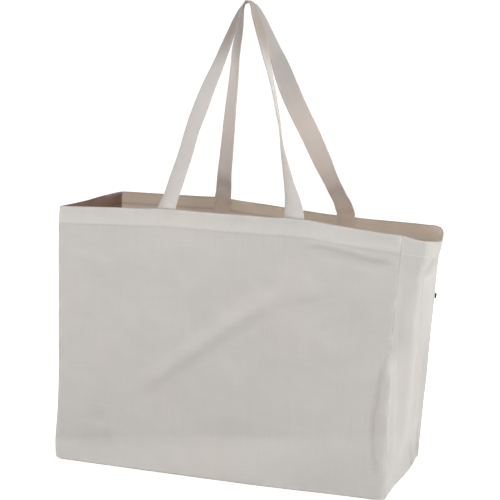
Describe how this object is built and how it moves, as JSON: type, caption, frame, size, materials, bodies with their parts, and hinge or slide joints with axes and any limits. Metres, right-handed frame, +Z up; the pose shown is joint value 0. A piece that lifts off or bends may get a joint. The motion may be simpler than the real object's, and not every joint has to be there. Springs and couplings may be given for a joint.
{
  "type": "carry bag",
  "caption": "Wide open-topped cotton canvas bag with flat base, side gussets that crease inwards, a turned-in hem, and long strap handles that meet above the mouth.",
  "frame": {"origin": "centre of the base, on the ground", "axes": "+X along the wide front panel, front panel faces -Y, +Z up through the mouth to the handles"},
  "size_m": [0.5126, 0.2008, 0.6618],
  "materials": {
    "canvas": "plain-weave unbleached cotton canvas, matt",
    "webbing": "folded and edge-stitched cotton canvas strap, matt",
    "thread": "cotton sewing thread",
    "overlock": "overlocked seam edge",
    "tag_cloth": "small blank woven tag"
  },
  "bodies": {
    "rear_panel": {"base_panel": "canvas", "rear_panel": "canvas", "rear_left_seam_edge": "overlock", "rear_right_seam_edge": "overlock", "rear_bottom_seam_edge": "overlock", "rear_hem_stitching": "thread", "rear_handle_left_sewn_end": "webbing", "rear_handle_left_box_stitch_outside": "thread", "rear_handle_left_box_stitch_inside": "thread", "rear_handle_right_sewn_end": "webbing", "rear_handle_right_box_stitch_outside": "thread", "rear_handle_right_box_stitch_inside": "thread", "side_seam_tag": "tag_cloth"},
    "right_gusset_rear": {"right_gusset_rear_half": "canvas", "right_gusset_rear_hem_stitching": "thread"},
    "right_gusset_front": {"right_gusset_front_half": "canvas", "right_gusset_front_hem_stitching": "thread"},
    "front_panel": {"front_panel": "canvas", "front_left_seam_edge": "overlock", "front_right_seam_edge": "overlock", "front_bottom_seam_edge": "overlock", "front_hem_stitching": "thread", "front_handle_left_sewn_end": "webbing", "front_handle_left_box_stitch_outside": "thread", "front_handle_left_box_stitch_inside": "thread", "front_handle_right_sewn_end": "webbing", "front_handle_right_box_stitch_outside": "thread", "front_handle_right_box_stitch_inside": "thread"},
    "left_gusset_rear": {"left_gusset_rear_half": "canvas", "left_gusset_rear_hem_stitching": "thread"},
    "left_gusset_front": {"left_gusset_front_half": "canvas", "left_gusset_front_hem_stitching": "thread"},
    "front_handle_roots": {"front_handle_left_root": "webbing", "front_handle_right_root": "webbing"},
    "rear_handle_roots": {"rear_handle_left_root": "webbing", "rear_handle_right_root": "webbing"},
    "front_handle": {"front_handle_loop": "webbing"},
    "rear_handle": {"rear_handle_loop": "webbing"}
  },
  "joints": [
    {"name": "fold", "type": "hinge", "parent": "rear_panel", "child": "right_gusset_rear", "pos_m": [0.249, 0.095, 0.185], "axis": [0, 0, -1], "range_deg": [0, 90]},
    {"name": "right_gusset_crease", "type": "hinge", "parent": "right_gusset_rear", "child": "right_gusset_front", "pos_m": [0.2568, 0, 0.185], "axis": [0, 0, 1], "range_deg": [0, 180]},
    {"name": "right_front_seam", "type": "hinge", "parent": "right_gusset_front", "child": "front_panel", "pos_m": [0.249, -0.095, 0.185], "axis": [0, 0, -1], "range_deg": [0, 90]},
    {"name": "left_rear_seam", "type": "hinge", "parent": "rear_panel", "child": "left_gusset_rear", "pos_m": [-0.249, 0.095, 0.185], "axis": [0, 0, 1], "range_deg": [0, 90]},
    {"name": "left_front_seam", "type": "hinge", "parent": "front_panel", "child": "left_gusset_front", "pos_m": [-0.249, -0.095, 0.185], "axis": [0, 0, -1], "range_deg": [0, 90]},
    {"name": "front_handle_lean", "type": "hinge", "parent": "front_panel", "child": "front_handle_roots", "pos_m": [0, -0.0964, 0.3703], "axis": [1, 0, 0], "range_deg": [0, 16]},
    {"name": "rear_handle_lean", "type": "hinge", "parent": "rear_panel", "child": "rear_handle_roots", "pos_m": [0, 0.0964, 0.3703], "axis": [-1, 0, 0], "range_deg": [0, 16]},
    {"name": "front_handle_swing", "type": "hinge", "parent": "front_handle_roots", "child": "front_handle", "pos_m": [0, -0.09083, 0.39409], "axis": [1, 0, 0], "range_deg": [0, 172]},
    {"name": "rear_handle_swing", "type": "hinge", "parent": "rear_handle_roots", "child": "rear_handle", "pos_m": [0, 0.09083, 0.39409], "axis": [-1, 0, 0], "range_deg": [0, 172]}
  ],
  "couplings": [
    {"joint": "right_gusset_crease", "follows": "fold", "ratio": 2},
    {"joint": "right_front_seam", "follows": "fold", "ratio": 1},
    {"joint": "left_rear_seam", "follows": "fold", "ratio": 1},
    {"joint": "left_front_seam", "follows": "fold", "ratio": 1},
    {"joint": "front_handle_lean", "follows": "fold", "ratio": 0.1777},
    {"joint": "rear_handle_lean", "follows": "fold", "ratio": 0.1777}
  ]
}
